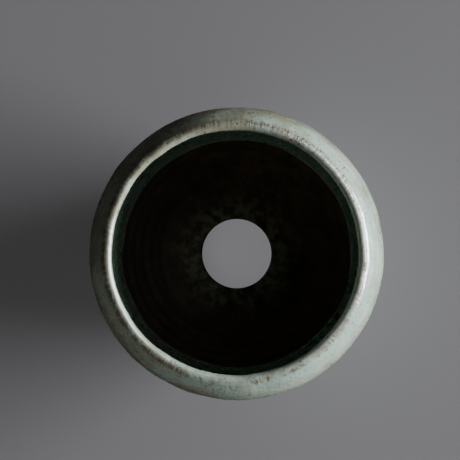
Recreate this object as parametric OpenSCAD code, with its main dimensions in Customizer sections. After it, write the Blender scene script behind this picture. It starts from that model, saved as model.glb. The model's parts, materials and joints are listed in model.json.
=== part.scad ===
// A wheel-thrown stoneware brush pot: a globular body on a turned foot, with a
// rounded lip, a drain hole in its floor, and a celadon glaze over its outside
// and the upper part of its inside. It stands on its foot, with its axis
// along Z.

/* [Body] */
// Height from the foot to the crest of the lip
pot_h = 96; // [90:1:100]
// Outside radius at the belly, the widest place
belly_r = 64; // [62:0.5:68]
// Radius of the shoulder's curve, from the belly up to the lip
shoulder_r = 34.5; // [32:0.5:36]
// Radius of the lower wall's curve, from the belly down to the foot
lower_r = 99; // [96:1:108]
// Thickness of the clay at the belly
wall_t = 4.4; // [4:0.1:5.4]

/* [Lip] */
// Radius of the lip's roll on the outer side of its crest, glaze included
lip_out_r = 3.6; // [3:0.1:4.4]
// Radius of the lip's roll on the inner side of its crest, glaze included
lip_in_r = 1.9; // [1.6:0.1:2.2]
// Slope at which the shoulder runs into the lip
lip_blend_a = 41.5; // [40:0.5:44]
// Slope on the shoulder at which the lip ring starts
lip_start_a = 24; // [16:1:30]

/* [Base] */
// Radius of the foot ring
foot_r = 37.4; // [36:0.2:38]
// Width of the foot ring
foot_w = 8.4; // [7:0.2:9]
// Height of the foot ring
foot_h = 4; // [3:0.5:5]
// Thickness of the floor
floor_t = 7; // [6:0.5:9]
// Radius of the drain hole
hole_r = 17.4; // [10:0.1:20]
// Radius of the cove between the floor and the wall
cove_r = 7; // [5:0.5:9]
// Rounding of the drain hole's upper edge
hole_round = 1.2; // [0.6:0.1:2]
// Bevel of the foot ring and of the drain hole's lower edge
bevel = 0.6; // [0.3:0.1:1]

/* [Glaze] */
// Thickness of the glaze
glaze_t = 0.8; // [0.5:0.1:1]
// Height of the lower edge of the glaze outside
outer_line_z = 9; // [7:0.5:14]
// Height of the lower edge of the glaze inside
inner_line_z = 41; // [34:0.5:60]

/* [Hidden] */
$fn = 128;
clay = "#4a3a2e";
celadon = "#a9b8a6";
// Angular steps of the wide curves and of the small rolls
wide_step = 4;
roll_step = 12;

// The lip's outer roll touches the shoulder's curve at lip_blend_a
lip_out_rise = (shoulder_r - lip_out_r) * sin(lip_blend_a);
belly_z = pot_h - lip_out_r - lip_out_rise;
shoulder_c = [belly_r - shoulder_r, belly_z];
lower_c = [belly_r - lower_r, belly_z];
crest_r = shoulder_c.x + (shoulder_r - lip_out_r) * cos(lip_blend_a);
lip_out_c = [crest_r, pot_h - lip_out_r];
lip_in_c = [crest_r, pot_h - lip_in_r];

// The curve inside the shoulder is upright at the belly and touches the lip's
// inner roll: its centre is as high as the belly
belly_in_r = belly_r - wall_t - 2 * glaze_t;
lip_in = belly_in_r - crest_r;
lip_in_rise = lip_in_c.y - belly_z;
shoulder_in_r = (lip_in * lip_in + lip_in_rise * lip_in_rise - lip_in_r * lip_in_r)
              / (2 * (lip_in + lip_in_r));
shoulder_in_c = [belly_in_r - shoulder_in_r, belly_z];
lip_in_v = lip_in_c - shoulder_in_c;
lip_in_a = atan2(lip_in_v.y, lip_in_v.x);
lip_start_in_a = asin((shoulder_r - glaze_t) * sin(lip_start_a)
               / (shoulder_in_r + glaze_t));

// The lower wall's curves on the clay, under the glaze, outside and inside
lower_clay_r = lower_r - glaze_t;
lower_in_r = lower_clay_r - wall_t;

// The cove touches the floor and the inside of the lower wall
floor_z = foot_h + floor_t;
cove_z = floor_z + cove_r;
cove_a = -asin((belly_z - cove_z) / (lower_in_r - cove_r));
cove_c = lower_c + (lower_in_r - cove_r) * [cos(cove_a), sin(cove_a)];

// Angles on the lower wall at the foot and at the two lower edges of the glaze
foot_a = -asin((belly_z - foot_h) / lower_clay_r);
outer_line_a = -asin((belly_z - outer_line_z) / lower_clay_r);
inner_line_a = -asin((belly_z - inner_line_z) / lower_in_r);

// Points on a circle about c, from angle a0 to angle a1
function arc(c, r, a0, a1, step) =
    let (n = ceil(abs(a1 - a0) / step))
    [for (i = [0 : n]) let (a = a0 + (a1 - a0) * i / n) c + r * [cos(a), sin(a)]];

// The outside, at depth t below the glaze's surface
function lower_outside(t) =
    arc(lower_c, lower_r - t, outer_line_a, 0, wide_step);
function shoulder_outside(t) =
    arc(shoulder_c, shoulder_r - t, 0, lip_start_a, wide_step);
function lip_outside(t) = concat(
    arc(shoulder_c, shoulder_r - t, lip_start_a, lip_blend_a, wide_step),
    arc(lip_out_c, lip_out_r - t, lip_blend_a, 90, roll_step));

// The inside, from the crest downwards, at depth t below the glaze's surface
function lip_inside(t) = concat(
    arc(lip_in_c, lip_in_r - t, 90, 180 + lip_in_a, roll_step),
    arc(shoulder_in_c, shoulder_in_r + t, lip_in_a, lip_start_in_a, wide_step));
function shoulder_inside(t) =
    arc(shoulder_in_c, shoulder_in_r + t, lip_start_in_a, 0, wide_step);
function lower_inside(t) =
    arc(lower_c, lower_in_r - glaze_t + t, 0, inner_line_a, wide_step);

function reversed(pts) = [for (i = [len(pts) - 1 : -1 : 0]) pts[i]];

module ring(pts) {
    rotate_extrude() polygon(pts);
}

// Turned foot ring: the bare clay that the pot stands on
module foot_ring() {
    foot_in_r = foot_r - foot_w;
    color(clay) ring([
        [foot_in_r + bevel, 0], [foot_r - bevel, 0], [foot_r, bevel],
        [foot_r, foot_h], [foot_in_r, foot_h], [foot_in_r, bevel]]);
}

// Floor slab with the drain hole through it
module base_disc() {
    round_c = [hole_r + hole_round, floor_z - hole_round];
    color(clay) ring(concat(
        [[hole_r, foot_h + bevel], [hole_r + bevel, foot_h],
         [cove_c.x, foot_h], [cove_c.x, floor_z]],
        arc(round_c, hole_round, 90, 180, roll_step)));
}

// Wall from the foot up to the belly, with the cove inside
module lower_wall() {
    color(clay) ring(concat(
        [[cove_c.x, foot_h]],
        arc(lower_c, lower_clay_r, foot_a, outer_line_a, wide_step),
        lower_outside(glaze_t),
        lower_inside(glaze_t),
        arc(lower_c, lower_in_r, inner_line_a, cove_a, wide_step),
        arc(cove_c, cove_r, cove_a, -90, roll_step)));
}

// Wall from the belly up to the lip ring
module shoulder_wall() {
    color(clay) ring(concat(shoulder_outside(glaze_t), shoulder_inside(glaze_t)));
}

// Lip ring: the end of the wall, which thins towards the roll at its crest
module lip() {
    color(clay) ring(concat(lip_outside(glaze_t), lip_inside(glaze_t)));
}

// Glaze on the outside, from above the foot to the crest of the lip
module outer_glaze() {
    color(celadon) ring(concat(
        lower_outside(0), shoulder_outside(0), lip_outside(0),
        reversed(lip_outside(glaze_t)), reversed(shoulder_outside(glaze_t)),
        reversed(lower_outside(glaze_t))));
}

// Glaze on the inside, from the crest of the lip to halfway down the wall
module inner_glaze() {
    color(celadon) ring(concat(
        lip_inside(0), shoulder_inside(0), lower_inside(0),
        reversed(lower_inside(glaze_t)), reversed(shoulder_inside(glaze_t)),
        reversed(lip_inside(glaze_t))));
}

foot_ring();
base_disc();
lower_wall();
shoulder_wall();
lip();
outer_glaze();
inner_glaze();
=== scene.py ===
"""Looks of the brush pot: lathed clay and glaze with a hand-thrown wobble, and their materials."""
import json
import math
import bpy
import numpy as np
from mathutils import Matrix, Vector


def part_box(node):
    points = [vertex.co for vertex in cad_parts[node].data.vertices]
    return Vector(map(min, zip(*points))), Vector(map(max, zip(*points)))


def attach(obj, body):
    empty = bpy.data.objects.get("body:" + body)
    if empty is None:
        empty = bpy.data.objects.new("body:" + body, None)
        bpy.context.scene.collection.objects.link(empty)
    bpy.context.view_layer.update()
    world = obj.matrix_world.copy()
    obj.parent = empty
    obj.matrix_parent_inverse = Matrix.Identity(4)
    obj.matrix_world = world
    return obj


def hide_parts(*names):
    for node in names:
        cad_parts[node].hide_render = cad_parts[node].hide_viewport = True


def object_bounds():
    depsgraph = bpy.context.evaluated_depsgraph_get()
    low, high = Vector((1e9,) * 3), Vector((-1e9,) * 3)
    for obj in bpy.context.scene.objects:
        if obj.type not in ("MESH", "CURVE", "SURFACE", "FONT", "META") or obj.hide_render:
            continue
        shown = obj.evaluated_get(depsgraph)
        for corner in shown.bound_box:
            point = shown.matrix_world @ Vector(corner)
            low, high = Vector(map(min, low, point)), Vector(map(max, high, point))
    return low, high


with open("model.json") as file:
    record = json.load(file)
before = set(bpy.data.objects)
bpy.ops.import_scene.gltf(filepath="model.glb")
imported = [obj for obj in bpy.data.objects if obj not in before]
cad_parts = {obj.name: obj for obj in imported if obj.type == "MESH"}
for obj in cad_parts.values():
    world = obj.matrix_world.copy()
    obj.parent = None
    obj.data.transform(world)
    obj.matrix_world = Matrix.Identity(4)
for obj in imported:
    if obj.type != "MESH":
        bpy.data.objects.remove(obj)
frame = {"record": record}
CAD_LO, CAD_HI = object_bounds()

# ---------------------------------------------------------------- sizes, in millimetres and degrees
MM = 0.001
SHOULDER_R = 34.5      # curve from the belly up to the lip
LOWER_R = 99.0         # curve from the belly down to the foot
LIP_OUT_R = 3.6        # roll of the lip, outside its crest
LIP_IN_R = 1.9         # roll of the lip, inside its crest
LIP_BLEND = 41.5       # slope at which the shoulder runs into the lip
LIP_START = 24         # slope outside at which the lip's clay starts
LIP_START_IN = 21      # slope inside at which it starts
SHOULDER_END_IN = 20   # slope inside at which the shoulder's clay ends
GLAZE_T = 0.8
GLAZE_EDGE = 1.5       # width of the glaze's rolled lower edges
GLAZE_RISE = 0.5       # how far above its line the outer glaze's lower edge starts
GLAZE_LAP = 2          # how far the wall's finer points go on behind the glaze, along the curve
WALL_T = 4.4           # clay at the belly
COVE_R = 7.0           # curve between the floor and the wall
COVE_LEAD = 6          # how much of the cove steers the floor's normals
HOLE_ROUND = 1.2
BEVEL = 0.6
FOOT_W = 8.4           # width of the foot ring
FOOT_EDGE = 0.9        # rounding of its lower edges
FOOT_TOP_EDGE = 0.5    # rounding of its upper edge
FOOT_LAP = 2.0         # how far it reaches under the floor
SEGMENTS = 432         # round the pot
HIDDEN_STEP = 3.0      # spacing of points on surfaces that nothing shows


def box_mm(node):
    low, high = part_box(node)
    return [v / MM for v in low], [v / MM for v in high]


POT_H = CAD_HI.z / MM
BELLY_R = box_mm("outer_glaze")[1][0]
FOOT_R = box_mm("foot_ring")[1][0]
FOOT_H = box_mm("foot_ring")[1][2]
COVE_X = box_mm("base_disc")[1][0]
FLOOR_Z = box_mm("base_disc")[1][2]
INNER_LINE_Z = box_mm("inner_glaze")[0][2]
OUTER_LINE_Z = box_mm("outer_glaze")[0][2]
HOLE_R = next(m for m in frame["record"]["mounts"] if m["name"] == "drain_hole")["dims"]["r_mm"]
FOOT_IN_R = FOOT_R - FOOT_W

BLEND = math.radians(LIP_BLEND)
BELLY_Z = POT_H - LIP_OUT_R - (SHOULDER_R - LIP_OUT_R) * math.sin(BLEND)
SHOULDER_C = (BELLY_R - SHOULDER_R, BELLY_Z)
LOWER_C = (BELLY_R - LOWER_R, BELLY_Z)
CREST_R = SHOULDER_C[0] + (SHOULDER_R - LIP_OUT_R) * math.cos(BLEND)
LIP_OUT_C = (CREST_R, POT_H - LIP_OUT_R)
LIP_IN_C = (CREST_R, POT_H - LIP_IN_R)

# The curve inside the shoulder is upright at the belly and touches the lip's roll
BELLY_IN_R = BELLY_R - WALL_T - 2 * GLAZE_T
LIP_IN = BELLY_IN_R - CREST_R
LIP_RISE = LIP_IN_C[1] - BELLY_Z
SHOULDER_IN_R = (LIP_IN ** 2 + LIP_RISE ** 2 - LIP_IN_R ** 2) / (2 * (LIP_IN + LIP_IN_R))
SHOULDER_IN_C = (BELLY_IN_R - SHOULDER_IN_R, BELLY_Z)
LIP_IN_A = math.degrees(math.atan2(LIP_RISE, CREST_R - SHOULDER_IN_C[0]))

# The clay of the lower wall, outside under the glaze and inside
LOWER_CLAY_R = LOWER_R - GLAZE_T
LOWER_IN_R = LOWER_CLAY_R - WALL_T


def lower_angle(radius, z):
    """Angle at which a circle about the lower wall's centre passes a height."""
    return -math.degrees(math.asin((BELLY_Z - z) / radius))


OUTER_LINE_A = lower_angle(LOWER_CLAY_R, OUTER_LINE_Z + GLAZE_RISE)
INNER_LINE_A = lower_angle(LOWER_IN_R, INNER_LINE_Z)
FOOT_A = lower_angle(LOWER_CLAY_R, FOOT_H)
COVE_C = (COVE_X, FLOOR_Z + COVE_R)
COVE_A = lower_angle(LOWER_IN_R - COVE_R, COVE_C[1])


# ---------------------------------------------------------------- profiles
# A profile is an array of rows (radius, height, normal's radius part, normal's height part).
def arc(centre, radius, start, end, step, inward=False):
    """Points on a circle in the profile's plane, from angle start to end, about step mm apart."""
    count = max(2, int(math.ceil(radius * abs(math.radians(end - start)) / step)) + 1)
    a = np.radians(np.linspace(start, end, count))
    sign = -1.0 if inward else 1.0
    c, s = np.cos(a), np.sin(a)
    return np.stack([centre[0] + radius * c, centre[1] + radius * s, sign * c, sign * s], 1)


def line(p, q, step):
    """Straight rows from p to q, with the normal on the right-hand side of the way along."""
    length = math.dist(p, q)
    count = max(2, int(math.ceil(length / step)) + 1)
    t = np.linspace(0, 1, count)[:, None]
    way = (np.array(q) - np.array(p)) / length
    points = np.array(p) * (1 - t) + np.array(q) * t
    return np.hstack([points, np.tile([way[1], -way[0]], (count, 1))])


def chain(*parts):
    """Joins stretches of profile and drops the points that they share."""
    rows = [parts[0]]
    for part in parts[1:]:
        shared = np.allclose(rows[-1][-1, :2], part[0, :2], atol=1e-4)
        rows.append(part[1:] if shared else part)
    return np.vstack(rows)


def offset(rows, depth):
    """The same rows, depth mm below the surface."""
    moved = rows.copy()
    moved[:, :2] -= depth * rows[:, 2:]
    return moved


def length_along(rows):
    """Length of the profile from its start to each row, in mm."""
    return np.concatenate([[0], np.cumsum(np.hypot(*np.diff(rows[:, :2], axis=0).T))])


def crest_distance(rows):
    """Distance along the profile from the crest in mm, positive outside and negative inside."""
    s = length_along(rows)
    return s[np.argmax(rows[:, 1])] - s


# ---------------------------------------------------------------- hand-thrown shape
def ramp(v, low, high):
    """Rises smoothly from 0 at low to 1 at high."""
    t = np.clip((v - low) / (high - low), 0, 1)
    return t * t * (3 - 2 * t)


def bell(value, middle, width):
    """1 at middle, falling to a third at width from it."""
    return np.exp(-((value - middle) / width) ** 2)


def field(seed, count, wave_low, wave_high, radius=58.0):
    """A smooth random surface: waves of the given lengths in mm that close round the pot."""
    rng = np.random.default_rng(seed)
    waves = []
    for _ in range(count):
        length = wave_low * (wave_high / wave_low) ** rng.random()
        turn = rng.random() * 2 * math.pi
        k = 2 * math.pi / length
        phase = rng.random() * 2 * math.pi
        waves.append((round(k * radius * math.cos(turn)), k * math.sin(turn), phase))

    def height(angle, s):
        total = np.zeros(np.broadcast(angle, s).shape)
        for m, k, phase in waves:
            total += np.cos(m * angle + k * s + phase)
        return total * math.sqrt(2.0 / count)
    return height


DIMPLES = field(11, 28, 9.0, 30.0)
RIPPLES = field(12, 40, 2.6, 6.0)
WAVER = field(13, 12, 25.0, 90.0)

ANGLES = np.linspace(0, 2 * math.pi, SEGMENTS, endpoint=False)
# Lobes round the pot: how many, their size in mm and their phase
BODY_LOBES = ((2, 0.18, 0.0), (3, 0.06, 1.9), (5, 0.05, 0.7),
              (9, 0.05, 2.2), (13, 0.04, 0.3), (17, 0.03, 1.1))
# The same for the height of the crest, which is lower than the CAD's so that it stays in its box
CREST_LOBES = ((0, -0.24, 0.0), (2, 0.10, 1.2), (3, 0.05, -0.4))
BELLY_IN_BY = 0.36          # how far the belly is drawn in, so that its lobes stay in the CAD's box
LIP_OFF = (-0.74, 0.52)     # how far the mouth sits off the pot's axis
LIP_WIDER = 0.05            # how much wider the mouth is, in mm, each way from LIP_WIDE_AT
LIP_WIDE_AT = 3.75          # the angle of that side, in radians


def lobes(table, angle):
    """The sum of a table's waves round the pot, in mm."""
    return sum(size * np.cos(count * angle + phase) for count, size, phase in table)


def wobble(grid, angle):
    """Moves points off the true circle. Each move grows over its own stretch of the height in mm."""
    z = grid[..., 2]
    body = ramp(z, 2.0, 55.0)
    belly = body * (1 - ramp(z, 80.0, 92.0))
    crest = ramp(z, 60.0, 96.0)
    mouth = ramp(z, 68.0, 93.0)
    lip = ramp(z, 85.0, 95.0)
    radial = body * lobes(BODY_LOBES, angle) - BELLY_IN_BY * belly
    radial = radial + LIP_WIDER * lip * (1 + np.cos(angle - LIP_WIDE_AT))
    level = crest * lobes(CREST_LOBES, angle)
    grid[..., 0] += radial * np.cos(angle) + mouth * LIP_OFF[0]
    grid[..., 1] += radial * np.sin(angle) + mouth * LIP_OFF[1]
    grid[..., 2] += level
    return grid


# ---------------------------------------------------------------- turned solids
def lathe_grid(rows, relief=None):
    """Turns profile rows round Z. relief(angle, s, rows) gives mm to move out along the normal."""
    angle = ANGLES[None, :]
    s = length_along(rows)[:, None]
    out = relief(angle, s, rows) if relief else 0.0
    out = np.broadcast_to(out, (len(rows), SEGMENTS))
    r = rows[:, 0:1] + out * rows[:, 2:3]
    z = rows[:, 1:2] + out * rows[:, 3:4]
    grid = np.stack([r * np.cos(angle), r * np.sin(angle), z + 0 * angle], -1)
    return wobble(grid, angle)


def grid_normals(grid, rows):
    """Normals of a turned grid, outwards as the profile's are."""
    along = np.gradient(grid, axis=0)
    across = np.roll(grid, -1, 1) - np.roll(grid, 1, 1)
    n = np.cross(along, across)
    n /= np.linalg.norm(n, axis=-1, keepdims=True)
    out_r, out_z = rows[:, 2:3], rows[:, 3:4]
    same_way = out_r * (np.cos(ANGLES) * n[..., 0] + np.sin(ANGLES) * n[..., 1]) + out_z * n[..., 2]
    return n * np.where(same_way < 0, -1.0, 1.0)[..., None]


def closed_quads(rings):
    """Faces that join each ring of points to the next one, and the last ring to the first."""
    i = np.arange(rings)[:, None]
    j = np.arange(SEGMENTS)[None, :]
    here, up = i * SEGMENTS, ((i + 1) % rings) * SEGMENTS
    beside = (j + 1) % SEGMENTS
    return np.stack([here + j, here + beside, up + beside, up + j], -1).reshape(-1, 4)


def facing(quads, points, ring, normal):
    """The quads, turned over if the first one of the ring doesn't face the way of the normal."""
    corner = points[quads[SEGMENTS * ring]]
    face_normal = np.cross(corner[1] - corner[0], corner[3] - corner[0])
    return quads[:, ::-1] if np.dot(face_normal, normal) < 0 else quads


def quad_mesh(name, points, quads, normals):
    mesh = bpy.data.meshes.new(name)
    mesh.vertices.add(len(points))
    mesh.vertices.foreach_set("co", points.ravel())
    mesh.loops.add(quads.size)
    mesh.loops.foreach_set("vertex_index", quads.ravel().astype(np.int32))
    mesh.polygons.add(len(quads))
    mesh.polygons.foreach_set("loop_start", np.arange(0, quads.size, 4, dtype=np.int32))
    mesh.update(calc_edges=True)
    mesh.validate()
    mesh.shade_smooth()
    mesh.normals_split_custom_set_from_vertices(normals.tolist())
    return mesh


def new_object(name, data):
    made = bpy.data.objects.new(name, data)
    bpy.context.scene.collection.objects.link(made)
    return made


def lathe(name, front, back, relief=None, before=0, after=0, layers=None):
    """One closed turned solid. front is what shows, and back closes it from front's end to its start.
    The first `before` and last `after` rows of front only steer the normals at the seams.
    layers maps an attribute's name to a value per front row."""
    keep = slice(before, len(front) - after)
    grid = lathe_grid(front, relief)
    normals = grid_normals(grid, front)[keep]
    grid = grid[keep]
    hidden = lathe_grid(back)
    points = np.concatenate([grid, hidden]).reshape(-1, 3) * MM
    all_normals = np.concatenate([normals, grid_normals(hidden, back)]).reshape(-1, 3)
    middle = len(grid) // 2
    quads = closed_quads(len(grid) + len(hidden))
    quads = facing(quads, points, middle, normals[middle, 0])
    mesh = quad_mesh(name, points, quads, all_normals)
    for layer, values in (layers or {}).items():
        data = np.zeros(len(points), dtype=np.float32)
        data[:len(grid) * SEGMENTS] = np.repeat(values[keep], SEGMENTS)
        mesh.attributes.new(layer, "FLOAT", "POINT").data.foreach_set("value", data)
    return new_object(name, mesh)


# ---------------------------------------------------------------- the glaze
EDGE_IN = 0.35         # the glaze's lower edges stop about this far short of their line, in mm
EDGE_WANDER = 0.30     # and wander about this far to either side of that
EDGE_FALL = 0.96       # share of the glaze's thickness that is gone at the edge
LUMPS_DOWN = 0.05      # relief starts this far below the CAD's surface, so that it stays in its box


def outer_path(step=0.6, fine=0.15):
    """The glaze's surface outside, from its lower edge up to the crest."""
    edge_a = OUTER_LINE_A + math.degrees(GLAZE_EDGE / LOWER_R)
    return chain(arc(LOWER_C, LOWER_R, OUTER_LINE_A, edge_a, fine),
                 arc(LOWER_C, LOWER_R, edge_a, 0, step),
                 arc(SHOULDER_C, SHOULDER_R, 0, LIP_BLEND, step),
                 arc(LIP_OUT_C, LIP_OUT_R, LIP_BLEND, 90, fine))


def inner_path(step=0.8, fine=0.15):
    """The glaze's surface inside, from the crest down to its lower edge."""
    radius = LOWER_IN_R - GLAZE_T
    edge_a = INNER_LINE_A + math.degrees(GLAZE_EDGE / radius)
    return chain(arc(LIP_IN_C, LIP_IN_R, 90, 180 + LIP_IN_A, fine),
                 arc(SHOULDER_IN_C, SHOULDER_IN_R, LIP_IN_A, 0, step, inward=True),
                 arc(LOWER_C, radius, 0, edge_a, step, inward=True),
                 arc(LOWER_C, radius, edge_a, INNER_LINE_A, fine, inward=True))


def glaze_back(path):
    """The glaze's face on the clay, which closes its solid."""
    return offset(path(HIDDEN_STEP, 0.6), GLAZE_T)[::-1]


def edge_drop(from_edge, angle):
    """How far the glaze's surface falls over its rounded lower edge, which wanders a little."""
    wander = EDGE_WANDER * WAVER(angle, 0 * from_edge)
    reach = np.clip(from_edge - EDGE_IN + wander, 0, GLAZE_EDGE)
    return GLAZE_T * EDGE_FALL * (1 - np.sqrt(1 - (1 - reach / GLAZE_EDGE) ** 2))


def glaze_lumps(angle, away):
    """Dimples and fine ripple of the glaze, which run on over the crest."""
    return 0.05 * DIMPLES(angle, away) + 0.014 * RIPPLES(angle, away) - LUMPS_DOWN


def throwing_rings(along, turn, depth, pitch):
    """The spiral that the potter's fingers leave, with its depth and pitch in mm."""
    return depth * np.sin(2 * math.pi * along / pitch + turn)


def outer_relief(angle, s, rows):
    away = crest_distance(rows)[:, None]
    rings = throwing_rings(away, angle, depth=0.045, pitch=5.2)
    rings = rings * (0.6 + 0.4 * np.sin(away / 11.0 + 2 * angle)) * ramp(away, 1.0, 6.0)
    return rings + glaze_lumps(angle, away) - edge_drop(s, angle)


def inner_relief(angle, s, rows):
    return glaze_lumps(angle, crest_distance(rows)[:, None]) - edge_drop(s[-1:] - s, angle)


def lip_film(away):
    """Where the glaze runs thin: over the lip's bend, just outside its crest."""
    return bell(away, 1.6, 1.5)


def make_outer_glaze():
    beyond = inner_path()[1:3]
    rows = np.vstack([outer_path(), beyond])
    away, z = crest_distance(rows), rows[:, 1]
    layers = {"thin": lip_film(away) + bell(z, OUTER_LINE_Z + 0.6, 1.6),
              "pool": bell(away, 5.5, 3.6) + 0.8 * bell(z, OUTER_LINE_Z + 5, 4.0),
              "deep": 0 * away}
    return lathe("outer_glaze_coat", rows, glaze_back(outer_path), outer_relief,
                 after=len(beyond), layers=layers)


def make_inner_glaze():
    ahead = outer_path()[-3:-1]
    rows = np.vstack([ahead, inner_path()])
    away = crest_distance(rows)
    edge = bell(rows[:, 1], INNER_LINE_Z + 0.6, 1.5)
    # The inner glaze is painted darker from about 3 to 14 mm below the crest: painted shade in the
    # mouth, not a different glaze.
    layers = {"thin": lip_film(away) + 0.8 * edge,
              "pool": 0 * away,
              "deep": ramp(-away, 3.0, 14.0) * (1 - 0.7 * edge)}
    return lathe("inner_glaze_coat", rows, glaze_back(inner_path), inner_relief,
                 before=len(ahead), layers=layers)


# ---------------------------------------------------------------- the clay
def make_lower_wall():
    """The wall below the belly. Its bare inside shows, and its foot shows as a band under the glaze."""
    inside = chain(arc(LOWER_C, LOWER_IN_R, INNER_LINE_A + GLAZE_LAP, COVE_A, 0.7, inward=True),
                   arc(COVE_C, COVE_R, COVE_A, -90, 0.4, inward=True))
    beyond = line((COVE_X, FLOOR_Z), (COVE_X - 0.8, FLOOR_Z), 0.4)[1:]
    rest = chain(line((COVE_X, FOOT_H), (FOOT_R - 1.2, FOOT_H), 2.0),
                 arc(LOWER_C, LOWER_CLAY_R, FOOT_A, OUTER_LINE_A + GLAZE_LAP, 0.5),
                 arc(LOWER_C, LOWER_CLAY_R, OUTER_LINE_A + GLAZE_LAP, 0, 4.0),
                 arc(LOWER_C, LOWER_IN_R, 0, INNER_LINE_A + GLAZE_LAP, 4.0, inward=True)[:-1])

    def relief(angle, s, rows):
        rings = throwing_rings(s, 1.0 - angle, depth=0.16, pitch=7.5)
        return (rings + 0.05 * DIMPLES(angle, s)) * ramp(rows[:, 1:2], FLOOR_Z, FLOOR_Z + 6)
    return lathe("lower_wall_clay", np.vstack([inside, beyond]), rest, relief, after=len(beyond))


def make_floor():
    """The floor's top, the drain hole's rounded edge and bore, and the underside inside the foot."""
    round_c = (HOLE_R + HOLE_ROUND, FLOOR_Z - HOLE_ROUND)
    bevel_c = (HOLE_R + BEVEL, FOOT_H + BEVEL)
    lead = arc(COVE_C, COVE_R, COVE_LEAD - 90, -90, 0.4, inward=True)[:-1]
    rows = chain(lead,
                 line((COVE_X, FLOOR_Z), (round_c[0], FLOOR_Z), 0.4),
                 arc(round_c, HOLE_ROUND, 90, 180, 0.15),
                 line((HOLE_R, round_c[1]), (HOLE_R, bevel_c[1]), 0.6),
                 arc(bevel_c, BEVEL, 180, 270, 0.12),
                 line((bevel_c[0], FOOT_H), (FOOT_IN_R + FOOT_LAP, FOOT_H), 0.6))
    back = line((COVE_X, FOOT_H), (COVE_X, FLOOR_Z - 0.5), HIDDEN_STEP)

    def relief(angle, s, rows):
        r = rows[:, 0:1]
        flat = ramp(r, HOLE_R + 0.6, HOLE_R + 3) * (1 - ramp(r, COVE_X - 3, COVE_X))
        rings = throwing_rings(s, angle, depth=0.07, pitch=4.0)
        return flat * (rings + 0.05 * DIMPLES(angle, s) - LUMPS_DOWN)
    return lathe("floor_clay", rows, back, relief, before=len(lead))


def make_foot():
    e, t = FOOT_EDGE, FOOT_TOP_EDGE
    rows = chain(line((FOOT_IN_R, FOOT_H), (FOOT_IN_R, e), 0.6),
                 arc((FOOT_IN_R + e, e), e, 180, 270, 0.15),
                 line((FOOT_IN_R + e, 0), (FOOT_R - e, 0), 0.6),
                 arc((FOOT_R - e, e), e, 270, 360, 0.15),
                 line((FOOT_R, e), (FOOT_R, FOOT_H - t), 0.5),
                 arc((FOOT_R - t, FOOT_H - t), t, 0, 90, 0.15))
    back = line((FOOT_R - FOOT_LAP, FOOT_H), (FOOT_IN_R + FOOT_LAP, FOOT_H), 2.0)

    def relief(angle, s, rows):
        z = rows[:, 1:2]
        side = ramp(z, 0.3, 1.5) * (1 - ramp(z, FOOT_H - 1, FOOT_H))
        return side * (throwing_rings(s, angle, depth=0.05, pitch=1.3) - LUMPS_DOWN)
    return lathe("foot_clay", rows, back, relief)


def make_shoulder():
    outside = arc(SHOULDER_C, SHOULDER_R - GLAZE_T, 0, LIP_START, 1.5)
    inside = arc(SHOULDER_IN_C, SHOULDER_IN_R + GLAZE_T, SHOULDER_END_IN, 0, 1.5, inward=True)
    return lathe("shoulder_clay", outside, inside)


def make_lip():
    outside = chain(arc(SHOULDER_C, SHOULDER_R - GLAZE_T, LIP_START, LIP_BLEND, 1.5),
                    arc(LIP_OUT_C, LIP_OUT_R - GLAZE_T, LIP_BLEND, 90, 0.3))
    inside = chain(arc(LIP_IN_C, LIP_IN_R - GLAZE_T, 90, 180 + LIP_IN_A, 0.3)[1:],
                   arc(SHOULDER_IN_C, SHOULDER_IN_R + GLAZE_T, LIP_IN_A, LIP_START_IN, 1.5, inward=True))
    return lathe("lip_clay", outside, inside)


# ---------------------------------------------------------------- materials
def srgb(r, g, b):
    """A colour given as 0 to 255 on a screen, as the shader's linear values."""
    def one(v):
        v /= 255
        return v / 12.92 if v <= 0.04045 else ((v + 0.055) / 1.055) ** 2.4
    return (one(r), one(g), one(b), 1.0)


def scaled(colour, factor):
    """A colour made brighter or darker."""
    return tuple(min(1.0, factor * v) for v in colour[:3]) + (1.0,)


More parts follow.
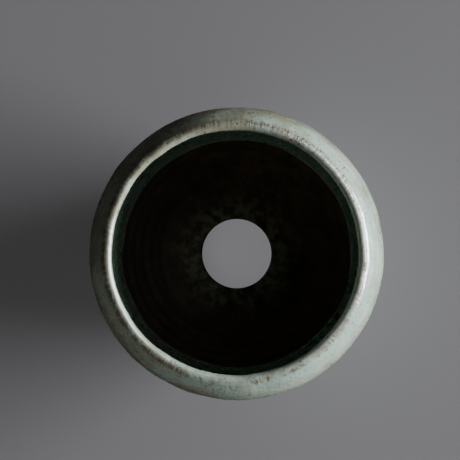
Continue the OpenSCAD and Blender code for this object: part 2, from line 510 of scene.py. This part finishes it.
class Shader:
    """A material under construction, with short ways to add its nodes."""

    def __init__(self, name):
        self.material = bpy.data.materials.new(name)
        self.material.use_nodes = True
        self.tree = self.material.node_tree
        self.bsdf = self.tree.nodes["Principled BSDF"]
        self.where = self.tree.nodes.new("ShaderNodeTexCoord").outputs["Object"]

    def feed(self, socket, value):
        """Links another node's output to a socket, or sets the socket to a constant."""
        if isinstance(value, bpy.types.NodeSocket):
            self.tree.links.new(value, socket)
        else:
            socket.default_value = value

    def add(self, kind, inputs=(), **settings):
        node = self.tree.nodes.new(kind)
        for key, value in settings.items():
            setattr(node, key, value)
        for key, value in dict(inputs).items():
            self.feed(node.inputs[key], value)
        return node

    def calc(self, operation, *values):
        return self.add("ShaderNodeMath", enumerate(values), operation=operation).outputs[0]

    def times(self, first, *others):
        for other in others:
            first = self.calc("MULTIPLY", first, other)
        return first

    def vector(self, operation, *values, result="Vector"):
        node = self.add("ShaderNodeVectorMath", enumerate(values), operation=operation)
        return node.outputs[result]

    def noise(self, size, detail=3.0, rough=0.55, at=None):
        """Noise whose features are about size mm across."""
        return self.add("ShaderNodeTexNoise", {"Vector": at or self.where, "Scale": 1 / (size * MM),
                                               "Detail": detail, "Roughness": rough}).outputs["Fac"]

    def span(self, value, low, high, to_low=0.0, to_high=1.0):
        """Maps low..high to to_low..to_high, smoothly and clamped."""
        return self.add("ShaderNodeMapRange", {"Value": value, "From Min": low, "From Max": high,
                                               "To Min": to_low, "To Max": to_high},
                        interpolation_type="SMOOTHSTEP").outputs["Result"]

    def mix(self, factor, a, b):
        """Colour a, or b where the factor is 1. The node has its colours in sockets 6, 7 and 2."""
        return self.add("ShaderNodeMix", {0: factor, 6: a, 7: b}, data_type="RGBA").outputs[2]

    def layer(self, name):
        return self.add("ShaderNodeAttribute", attribute_name=name).outputs["Fac"]

    def height(self):
        return self.add("ShaderNodeSeparateXYZ", {"Vector": self.where}).outputs["Z"]

    def from_axis(self):
        """The place as seen from above, with no height."""
        return self.vector("MULTIPLY", self.where, (1, 1, 0))

    def spots(self, cell, radius, share, soft=0.5, seed=0.0):
        """Round spots of a radius in mm, in a share of the cells of a size in mm."""
        moved = self.vector("ADD", self.where, (seed, seed * 0.7, -seed))
        cells = self.add("ShaderNodeTexVoronoi", {"Vector": moved, "Scale": 1 / (cell * MM),
                                                  "Randomness": 1.0})
        parts = self.add("ShaderNodeSeparateColor", {"Color": cells.outputs["Color"]})
        size = self.calc("MULTIPLY_ADD", parts.outputs["Green"], 0.7, 0.5)
        near = self.calc("DIVIDE", cells.outputs["Distance"], self.times(size, radius / cell))
        disc = self.span(near, 1.0 + soft, 1.0 - soft)
        return self.times(disc, self.calc("LESS_THAN", parts.outputs["Red"], share))

    def bump(self, height, depth, normal=None):
        """Relief of a depth in mm."""
        inputs = {"Height": height, "Distance": depth * MM, "Strength": 1.0}
        if normal is not None:
            inputs["Normal"] = normal
        return self.add("ShaderNodeBump", inputs).outputs["Normal"]

    def pit(self, spots, depth, normal):
        """Pits of a depth in mm where the spots are."""
        return self.bump(self.calc("SUBTRACT", 1.0, spots), depth, normal)

    def finish(self, inputs):
        """Sets the shader's own sockets, by name."""
        for key, value in inputs.items():
            self.feed(self.bsdf.inputs[key], value)
        return self.material


GLAZE = {
    "pale": srgb(180, 193, 182),       # most of it
    "green": srgb(164, 187, 177),      # clouds
    "warm": srgb(174, 173, 149),       # mottling
    "grain": srgb(136, 142, 116),      # fine grain
    "cool": srgb(150, 181, 172),       # pooled thick, below the lip and above the foot
    "deep": srgb(76, 106, 91),         # painted shade: the same glaze, drawn darker further down inside the mouth
    "olive": srgb(134, 128, 98),       # thinner glaze, painted stronger on the side away from the window light, partly as painted shade
    "tan": srgb(100, 78, 52),          # the film over the lip's bend and at the lower edges
    "dot": srgb(60, 46, 32),           # iron in that film
    "blot": srgb(120, 100, 68),        # soft stains
    "speck": srgb(50, 36, 24),         # iron specks
    "fine": srgb(84, 70, 48),          # the smallest specks
}
SHADED_BROWN_SIDE = (-0.87, 0.49, 0.0)        # the way that the side faces which is painted browner and darker: thinner glaze there, and painted shade away from the window light
SHADED_SIDE_MOST = 0.13                       # what `side` reaches there, from 0 on the opposite side
STREAK_R = 52.0                        # radius at which the streaks are as wide as their noise


def lip_streaks(s):
    """Streaks that run over the lip: noise on the direction from the axis, stretched along Z."""
    aim = s.vector("NORMALIZE", s.from_axis())
    along = s.vector("MULTIPLY", s.where, (0, 0, 0.35))
    curl = s.vector("MULTIPLY_ADD", aim, (STREAK_R * MM,) * 3, along)
    return s.noise(1.1, 2, 0.6, at=curl)


def glaze_body(s, mottle, pool, deep, side):
    """The glaze's colour where it is thick: cloudy and mottled, cooler in pools, with painted shade
    inside the mouth and, in part, on the side away from the window light.
    """
    colour = s.mix(s.span(s.noise(24, 3), 0.40, 0.62), GLAZE["pale"], GLAZE["green"])
    colour = s.mix(s.times(s.span(mottle, 0.46, 0.70), 0.6), colour, GLAZE["warm"])
    colour = s.mix(s.span(s.noise(0.9, 3, 0.6), 0.56, 0.72, 0.0, 0.35), colour, GLAZE["grain"])
    # The cool pool is painted weaker on the side away from the window light: part of that side's painted
    # shade.
    pooled = s.times(pool, s.span(s.noise(9, 3), 0.35, 0.62, 0.2, 0.9),
                     s.span(side, 0.0, SHADED_SIDE_MOST, 1.0, 0.45))
    colour = s.mix(pooled, colour, GLAZE["cool"])
    # Painted shade: the glaze turns dark green further down inside the mouth.
    colour = s.mix(s.times(deep, 0.95), colour, GLAZE["deep"])
    # Thinner glaze turns olive, more so on the side away from the window light, where this is partly
    # painted shade; away from the pooled band and the inside
    elsewhere = s.calc("SUBTRACT", s.calc("SUBTRACT", 1.0, pooled), deep)
    olive = s.span(s.calc("MULTIPLY_ADD", side, 1.4, s.noise(17, 3)), 0.50, 0.74)
    olive = s.calc("MAXIMUM", s.times(olive, elsewhere), 0.0)
    return s.mix(s.times(olive, 0.65), colour, GLAZE["olive"])


def glaze_specks(s, colour, specks):
    """Iron in the glaze: soft blots and dark specks that crowd here and there, and fine specks."""
    crowd = s.span(s.noise(16, 2), 0.35, 0.65, 0.35, 1.0)
    blots = s.spots(4.0, 1.0, 0.5, 0.8, seed=2.7)
    colour = s.mix(s.times(blots, crowd, 0.45), colour, GLAZE["blot"])
    colour = s.mix(s.times(specks, crowd), colour, GLAZE["speck"])
    return s.mix(s.times(s.spots(0.85, 0.22, 0.72, seed=0.3), 0.75), colour, GLAZE["fine"])


def glaze_material(name):
    """Satin celadon: cloudy tone, iron specks, tan where it runs thin and cool where it is thick, with
    painted shade inside the mouth and, in part, on the side away from the window light.
    """
    s = Shader(name)
    thin, pool, deep = (s.layer(layer) for layer in ("thin", "pool", "deep"))
    mottle = s.noise(4.0, 4, 0.6)
    streaks = lip_streaks(s)
    specks = s.spots(1.7, 0.42, 0.55, seed=1.1)
    # side grows towards the side away from the window light, where olive and tan are painted stronger:
    # partly thinner glaze, partly painted shade.
    side = s.vector("DOT_PRODUCT", s.where, SHADED_BROWN_SIDE, result="Value")
    side = s.span(side, -40 * MM, 55 * MM, 0.0, SHADED_SIDE_MOST)
    colour = glaze_body(s, mottle, pool, deep, side)

    # Where it is thin, a tan film in patches and streaks, with iron dots in it
    patch = s.calc("MULTIPLY_ADD", mottle, 0.5, s.noise(13, 2))
    # The tan patches are painted stronger on the side away from the window light: partly painted shade.
    patch = s.span(s.calc("MULTIPLY_ADD", side, 1.6, patch), 0.62, 0.88)
    film = s.times(thin, patch, s.span(streaks, 0.40, 0.58, 0.25, 1.0))
    colour = s.mix(s.times(film, 0.88), colour, GLAZE["tan"])
    dotted = s.span(s.times(thin, s.calc("ADD", patch, 0.35)), 0.30, 0.62)
    dots = s.times(s.spots(0.85, 0.28, 0.60, 0.35, seed=5.3), dotted)
    colour = s.mix(s.times(dots, 0.9), colour, GLAZE["dot"])
    colour = glaze_specks(s, colour, specks)

    roughness = s.calc("MULTIPLY_ADD", film, 0.12, s.span(mottle, 0.3, 0.7, 0.23, 0.33))
    pits = s.times(s.spots(0.8, 0.25, 0.6, 0.6, seed=4.2), s.span(film, 0.15, 0.6))
    normal = s.bump(s.noise(1.7, 3, 0.5), 0.06)
    normal = s.bump(s.times(streaks, s.calc("ADD", film, 0.35)), 0.12, normal)
    normal = s.pit(pits, 0.14, normal)
    normal = s.pit(specks, 0.04, normal)
    return s.finish({"Base Color": colour, "Roughness": roughness, "Normal": normal,
                     "IOR": 1.6, "Specular IOR Level": 0.9,
                     "Coat IOR": 1.6, "Coat Weight": 0.9, "Coat Roughness": 0.27})


# Darker and lighter tone of the clay
WALL_CLAY = (srgb(48, 40, 32), srgb(66, 54, 42))
FLOOR_CLAY = (srgb(50, 42, 33), srgb(70, 58, 45))
TOASTED_CLAY = (srgb(88, 68, 50), srgb(122, 98, 74))
GLAZE_DUST = srgb(104, 110, 88)
DUST_NEAR, DUST_FAR = 20, 35           # radii from which the dust thins out and at which it is gone


def clay_material(name, dark, light, dust=None, toasted=None):
    """Bare stoneware: gritty, with paler grog and dark iron. dust is the colour of glaze dust round
    the drain hole, and toasted the two tones of the clay below the floor's level."""
    s = Shader(name)
    tone = s.span(s.noise(9, 4, 0.6), 0.35, 0.65)
    grit = s.noise(0.7, 3, 0.65)
    grog = s.spots(1.0, 0.28, 0.5, seed=0.9)
    iron = s.spots(1.9, 0.42, 0.4, seed=2.0)
    colour = s.mix(tone, dark, light)
    colour = s.mix(s.times(grog, 0.45), colour, scaled(light, 1.9))
    colour = s.mix(s.times(iron, 0.7), colour, scaled(dark, 0.35))
    if toasted:
        # Below the floor's level the wall is seen from outside, where the kiln has toasted it
        below = s.span(s.height(), (FLOOR_Z - 0.1) * MM, (FLOOR_Z - 0.6) * MM)
        colour = s.mix(below, colour, s.mix(tone, *toasted))
    if dust:
        radius = s.vector("LENGTH", s.from_axis(), result="Value")
        near = s.span(radius, DUST_NEAR * MM, DUST_FAR * MM, 1.0, 0.0)
        cover = s.times(s.span(s.noise(5.0, 4, 0.65), 0.42, 0.62), near)
        colour = s.mix(s.times(cover, 0.65), colour, dust)
    roughness = s.span(grit, 0.3, 0.7, 0.62, 0.85)
    normal = s.pit(iron, 0.18, s.bump(grit, 0.10))
    return s.finish({"Base Color": colour, "Roughness": roughness, "Normal": normal,
                     "Specular IOR Level": 0.06})


# ---------------------------------------------------------------- the pieces
def dress(piece, node, material):
    piece.data.materials.append(material)
    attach(piece, "root")
    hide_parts(node)


celadon = glaze_material("celadon")
inside_clay = clay_material("inside", *WALL_CLAY, toasted=TOASTED_CLAY)
floor_clay = clay_material("floor", *FLOOR_CLAY, dust=GLAZE_DUST)
foot_clay = clay_material("foot", *TOASTED_CLAY)

dress(make_outer_glaze(), "outer_glaze", celadon)
dress(make_inner_glaze(), "inner_glaze", celadon)
dress(make_lower_wall(), "lower_wall", inside_clay)
dress(make_floor(), "base_disc", floor_clay)
dress(make_foot(), "foot_ring", foot_clay)
dress(make_shoulder(), "shoulder_wall", inside_clay)
dress(make_lip(), "lip", inside_clay)


# ---------------------------------------------------------------- stage, in metres
STAGE_R = 1.6          # the floor sweeps up into a plain backdrop all round
SWEEP_R = 0.5          # radius of that sweep
SWEEP_STEPS = 15       # of 6 degrees each
STAGE_TOP = 1.5
STAGE_SIDES = 96
GAP = 0.0001           # the floor lies this far below the foot, and the glowing round of painted light this far above z = 0
PAINTED_LIGHT_CARD_R = 0.024         # a round under the drain hole that glows brighter than the floor round it: painted light where the pot shades the floor
PAPER = (0.185, 0.182, 0.195, 1.0)
FLOOR_GLOW, BACKDROP_GLOW = 0.03, 0.13
PAINTED_LIGHT_CARD = (0.42, 0.41, 0.43, 1.0)
PAINTED_LIGHT_CARD_GLOW = 0.165
GLOW_COLOUR = (0.96, 0.94, 1.0, 1.0)


def stage_material(name, colour, glow, top_glow=None):
    """A matt surface with a faint glow, as if lit from all round, which may change up the sweep."""
    s = Shader(name)
    if top_glow is not None:
        glow = s.span(s.height(), 0.0, SWEEP_R, glow, top_glow)
    return s.finish({"Base Color": colour, "Roughness": 0.9, "Specular IOR Level": 0.1,
                     "Emission Color": GLOW_COLOUR, "Emission Strength": glow})


def stage_piece(name, rings, material, disc=True, lights_pot=False):
    """Rings of (radius, height) joined by a smooth wall, with the first one filled if disc is true."""
    n = STAGE_SIDES
    turns = [2 * math.pi * k / n for k in range(n)]
    points = [(r * math.cos(a), r * math.sin(a), z) for r, z in rings for a in turns]
    faces = [list(range(n))] if disc else []
    for low in range(0, n * (len(rings) - 1), n):
        up = low + n
        faces += [[low + k, up + k, up + (k + 1) % n, low + (k + 1) % n] for k in range(n)]
    mesh = bpy.data.meshes.new(name)
    mesh.from_pydata(points, [], faces)
    mesh.shade_smooth()
    mesh.materials.append(material)
    piece = new_object(name, mesh)
    piece.visible_diffuse = lights_pot
    piece.visible_glossy = False
    piece.visible_shadow = False


def sweep_ring(turn):
    """Radius and height of the stage where the sweep has turned up by an angle."""
    return STAGE_R - SWEEP_R * (1 - math.sin(turn)), SWEEP_R * (1 - math.cos(turn)) - GAP


sweep = [sweep_ring(math.radians(90 * k / SWEEP_STEPS)) for k in range(SWEEP_STEPS + 1)]
paper = stage_material("paper", PAPER, FLOOR_GLOW, BACKDROP_GLOW)
stage_piece("stage_floor", sweep[:1], paper, lights_pot=True)
stage_piece("stage_backdrop", sweep + [(STAGE_R, STAGE_TOP)], paper, disc=False)
# Painted light: a round under the drain hole that glows brighter than the floor, and lights nothing.
stage_piece("stage_card", [(PAINTED_LIGHT_CARD_R, GAP)], stage_material("card", PAINTED_LIGHT_CARD, PAINTED_LIGHT_CARD_GLOW))


# ---------------------------------------------------------------- light
COOL_WHITE = (0.97, 0.99, 1.0)
WARM_WHITE = (1.0, 0.96, 0.90)
TARGET = (0, 0, 0.7 * POT_H * MM)


def area_light(name, aim, distance, size, power, colour, gloss=True, diffuse=True):
    """A soft light that faces the pot's upper half. aim is its azimuth and elevation in degrees."""
    data = bpy.data.lights.new(name, "AREA")
    data.shape = "RECTANGLE"
    data.size, data.size_y = size
    data.energy, data.color = power, colour
    light = new_object(name, data)
    a, e = (math.radians(v) for v in aim)
    level = distance * math.cos(e)
    light.location = (TARGET[0] + level * math.cos(a), TARGET[1] + level * math.sin(a),
                      TARGET[2] + distance * math.sin(e))
    light.rotation_euler = (math.pi / 2 - e, 0, math.pi / 2 + a)
    light.visible_camera = False
    light.visible_glossy = gloss
    light.visible_diffuse = diffuse


area_light("window", (4, 10.5), 2.5, (1.80, 1.30), 230.0, (0.99, 1.0, 1.0))
area_light("glint", (18, 50), 1.5, (1.1, 0.3), 20.0, COOL_WHITE, diffuse=False)
area_light("table_bounce", (-78, -3), 0.36, (0.50, 0.085), 0.09, WARM_WHITE, gloss=False)
area_light("table_glow", (-101, 45), 0.145, (0.10, 0.06), 0.018, WARM_WHITE, gloss=False)
area_light("front_bounce", (-118, 34), 0.5, (0.4, 0.4), 0.18, WARM_WHITE, gloss=False)

# A faint light from all round, as from the rest of the room
world = bpy.data.worlds.new("room")
world.use_nodes = True
background = world.node_tree.nodes["Background"]
background.inputs["Color"].default_value = (1.0, 0.94, 0.72, 1.0)
background.inputs["Strength"].default_value = 0.012
bpy.context.scene.world = world


# ---------------------------------------------------------------- camera
LIP_DISTANCE = 412.0           # camera above the crest, in mm
LENS, SENSOR = 78.261, 36.0    # focal length and width of the picture, in mm
TILT = (0.0236, 0.0068)        # turned off the pot's axis about X and Y, in radians

camera_data = bpy.data.cameras.new("camera")
camera_data.sensor_width = SENSOR
camera_data.lens = LENS
camera_data.clip_start, camera_data.clip_end = 0.01, 20
camera = new_object("camera", camera_data)
camera.location = (0, 0, (POT_H + LIP_DISTANCE) * MM)
camera.rotation_euler = (*TILT, 0)
bpy.context.scene.camera = camera
